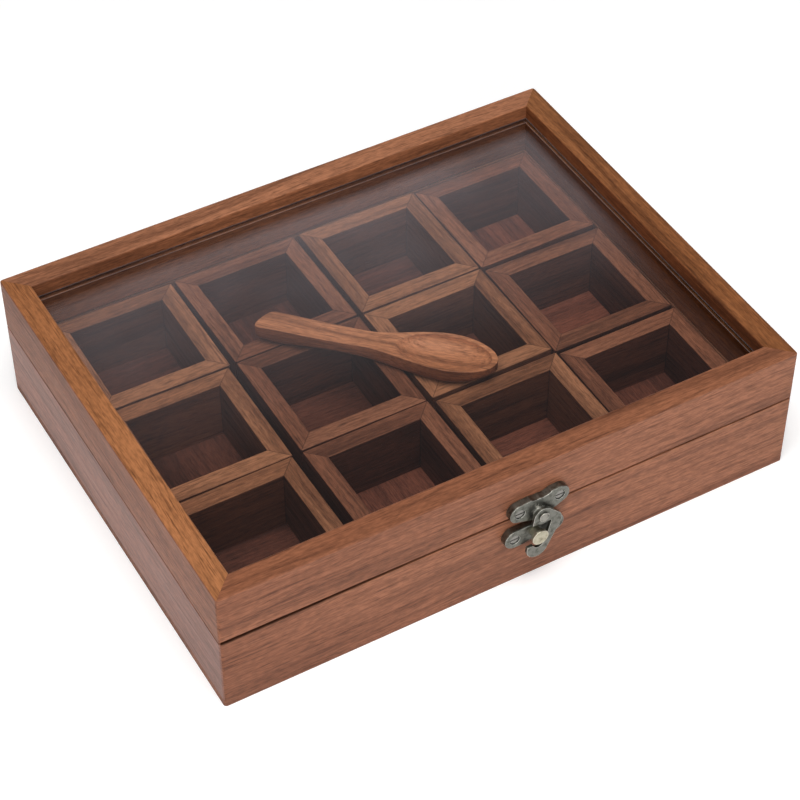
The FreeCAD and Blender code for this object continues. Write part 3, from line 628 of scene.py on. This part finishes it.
def finishMetal():
    for name in castPieces:
        castPiece(name)
    for name in ("latch_plate_screws", "keeper_plate_screws"):
        finish(name, metalLooks["screw_bronze"])
    for name in ("hinge_base_screws", "hinge_lid_screws"):
        finish(name, metalLooks["worn_bronze"])
    finish("latch_spacer", metalLooks["spacer_bright"])
    for side in ("left", "right"):
        for part in ("base_leaf", "lid_leaf", "pin"):
            finish(f"hinge_{side}_{part}", metalLooks["hinge_brass"])


# spoon

spoonShape = {
    "length": 118.5 * mm,
    "middle": (-4.5 * mm, 6.1 * mm),
    "turn": -44.5,  # degrees from +X, handle to bowl
    "handleEnd": 6.6 * mm,  # half widths
    "neck": 5.8 * mm,
    "bowl": 13.0 * mm,
    "bowlStarts": 52 * mm,  # along the spoon, from the handle's end
    "bowlWidest": 94 * mm,
    "endRound": 4.5 * mm,
    "endSlant": 3.0 * mm,  # how far the near corner of the handle's end stands out
    "sag": 1.2 * mm,  # how far the top dips at the neck
    "arch": 2.2 * mm,  # how far the underside lifts at the neck
    "archEnds": 0.62,  # this and the next shares are of the spoon's length
    "tipRise": 6.0 * mm,  # of the underside, towards the bowl's tip
    "tipStarts": 0.78,
    "tipEnds": 1.04,
    "tipCurve": 1.4,
    "brimDrop": 0.5 * mm,  # of the top, at the bowl's tip
    "brimStarts": 0.8,
    "buttThin": 2.5 * mm,  # how much the handle thins from below to its end
    "buttEnds": 0.12,
    "hollowMiddle": 92 * mm,
    "hollowLong": 23.5 * mm,
    "hollowWide": 11.7 * mm,
    "hollowDeep": 6.8 * mm,
    "hollowCurve": 0.62,  # 0.5 is a true ellipsoid, more has a softer brim
    "handleFull": 5.0,  # how square the section is under the handle
    "bowlFull": 3.8,  # and under the bowl
    "edge": 0.4 * mm,
    "stations": 150,
    "across": 56,
    "under": 40,
    "edgeSteps": 3,
    # painted light on the top and painted shade on the sides
    "topLit": (1.02, 0.99, 0.96),
    "sideShaded": (0.60, 0.50, 0.46),
}


def smooth(low, high, number):
    share = min(1.0, max(0.0, (number - low) / (high - low)))
    return share * share * (3 - 2 * share)


def spoonHalfWidth(along):
    s = spoonShape
    width = s["handleEnd"] + (s["neck"] - s["handleEnd"]) * min(1.0, along / s["bowlStarts"])
    width += (s["bowl"] - s["neck"]) * smooth(s["bowlStarts"], s["bowlWidest"], along)
    if along < s["endRound"]:
        width *= max(0.0, 1 - (1 - along / s["endRound"]) ** 3) ** (1 / 3)
    if along > s["bowlWidest"]:
        share = (along - s["bowlWidest"]) / (s["length"] - s["bowlWidest"])
        width *= math.sqrt(max(0.0, 1 - share ** 2))
    return width


def spoonHeights(along, low, high):
    s = spoonShape
    long = s["length"]
    dip = math.sin(math.pi * min(1.0, along / s["bowlWidest"])) ** 2
    top = high - s["sag"] * dip - s["brimDrop"] * smooth(s["brimStarts"] * long, long, along)
    lift = math.sin(math.pi * min(1.0, along / (s["archEnds"] * long))) ** 2
    tip = smooth(s["tipStarts"] * long, s["tipEnds"] * long, along) ** s["tipCurve"]
    butt = 1 - smooth(0.0, s["buttEnds"] * long, along)
    return top, low + s["arch"] * lift + s["tipRise"] * tip + s["buttThin"] * butt


def spoonRing(along, low, high, half):
    s = spoonShape
    top, under = spoonHeights(along, low, high)
    edge = min(s["edge"], half * 0.6)
    ring = []
    for step in range(s["across"] + 1):  # over the top, with the hollow
        side = (half - edge) * (2 * step / s["across"] - 1)
        reach = ((along - s["hollowMiddle"]) / s["hollowLong"]) ** 2 + (side / s["hollowWide"]) ** 2
        hollow = s["hollowDeep"] * max(0.0, 1 - reach) ** s["hollowCurve"]
        ring.append((side, top - hollow))
    brim = []
    for step in range(1, s["edgeSteps"] + 1):  # round the top edge
        angle = math.pi / 2 * step / s["edgeSteps"]
        brim.append((half - edge + edge * math.sin(angle), top - edge + edge * math.cos(angle)))
    ring += brim
    bowlShare = smooth(s["bowlStarts"], s["bowlWidest"], along)
    fullness = s["handleFull"] + (s["bowlFull"] - s["handleFull"]) * bowlShare
    tall = top - edge - under
    for step in range(1, s["under"]):  # under, from the right edge to the left
        angle = math.pi * step / s["under"]
        across = math.copysign(abs(math.cos(angle)) ** (2 / fullness), math.cos(angle))
        ring.append((half * across, top - edge - tall * math.sin(angle) ** (2 / fullness)))
    ring += [(-side, height) for side, height in reversed(brim)]
    return ring


def carveSpoon():
    s = spoonShape
    low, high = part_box("spoon")
    turn = Matrix.Rotation(math.radians(s["turn"]), 4, "Z")
    home = Matrix.Translation((s["middle"][0], s["middle"][1], 0)) @ turn
    shape = bmesh.new()
    rings = []
    for step in range(s["stations"] + 1):
        along = s["length"] * (1 - math.cos(math.pi * step / s["stations"])) / 2
        half = max(spoonHalfWidth(along), 0.05 * mm)
        slant = s["endSlant"] * (1 - smooth(0.0, 3 * s["endRound"], along)) / s["handleEnd"]
        ring = []
        for side, height in spoonRing(along, low.z, high.z, half):
            corner = Vector((along - s["length"] / 2 + slant * side, side, height))
            ring.append(shape.verts.new(home @ corner))
        rings.append(ring)
    for first, second in zip(rings, rings[1:]):
        for place in range(len(first)):
            after = (place + 1) % len(first)
            shape.faces.new((first[place], second[place], second[after], first[after]))
    shape.faces.new(rings[0])
    shape.faces.new(list(reversed(rings[-1])))
    bmesh.ops.recalc_face_normals(shape, faces=shape.faces)
    piece = placeShape("spoon_carved", shape)
    piece.data.shade_smooth()
    wood = woodMaterial(
        "spoon_sanded", "spoon", turn=(0, 0, -math.radians(s["turn"])), seed=9.7, veins=0.6,
        fibres=0.6, pores=0.25, gloss=0.42, shine=0.2, facingLight=(up, s["topLit"], s["sideShaded"]))
    piece.data.materials.append(wood)
    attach(piece, "spoon")
    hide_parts("spoon")


# surroundings

room = {
    "table": 4.0,  # half its width
    "tableDrop": 0.05 * mm,  # so that it doesn't touch the box
    "wall": 1.0,  # brightness low down, all round
    "ceiling": 0.10,
    "haze": 0.35,  # brightness of the patch that the pane mirrors
    "hazeWay": (0.36, 0.78, 0.51),
    "hazeFrom": 0.952,
    "hazeTo": 0.990,
    "wallTop": 0.42,  # sine of the angle up where the wall's light fades out
    "wallFull": 0.18,
    "skyColour": (0.955, 0.965, 1.000),
    "paperCool": (0.90, 0.905, 0.92),
    "paperWarm": (0.93, 0.93, 0.93),
    "paperGlow": (0.98, 0.985, 1.00),
    "paperGlows": 0.2,
}


def lightRoom():
    world = bpy.data.worlds.new("room")
    world.use_nodes = True
    scene.world = world
    tree = world.node_tree
    tree.nodes.clear()
    way = put(tree, "TexCoord").outputs["Generated"]
    height = put(tree, "SeparateXYZ", {0: way}).outputs[2]
    patch = calcVector(tree, "DOT_PRODUCT", way, room["hazeWay"])
    haze = spread(tree, patch, room["hazeFrom"], room["hazeTo"], room["ceiling"], room["haze"])
    wall = spread(tree, height, room["wallTop"], room["wallFull"], 0.0, room["wall"])
    strength = calc(tree, "MAXIMUM", haze, wall)
    sky = put(tree, "Background", {"Color": rgba(room["skyColour"]), "Strength": strength})
    output = tree.nodes.new("ShaderNodeOutputWorld")
    tree.links.new(sky.outputs[0], output.inputs["Surface"])
    scene.view_settings.view_transform = "Standard"


def layTable():
    shape = bmesh.new()
    bmesh.ops.create_grid(shape, x_segments=8, y_segments=8, size=room["table"])
    table = placeShape("table_top", shape)
    table.location.z = -room["tableDrop"]
    material, tree, surface = newMaterial("table_paper")
    tint = noise(tree, put(tree, "TexCoord").outputs["Object"], 2.0, 0.5, 3.0)
    colour = blendColours(tree, tint, rgba(room["paperCool"]), rgba(room["paperWarm"]))
    shader = put(tree, "BsdfPrincipled", {
        "Base Color": colour, "Roughness": 0.8, "Specular IOR Level": 0.2,
        "Emission Color": rgba(room["paperGlow"]), "Emission Strength": room["paperGlows"]})
    tree.links.new(shader.outputs[0], surface)
    table.data.materials.append(material)


placeCamera()
for lamp in lampPlaces:
    hangLamp(lamp)
lightRoom()
layTable()
print("camera, lamps and table ready")
finishBoards()
print("boards finished")
finishCups()
print("cups finished")
finishPane()
finishMetal()
print("pane and metal finished")
carveSpoon()
print("spoon carved")
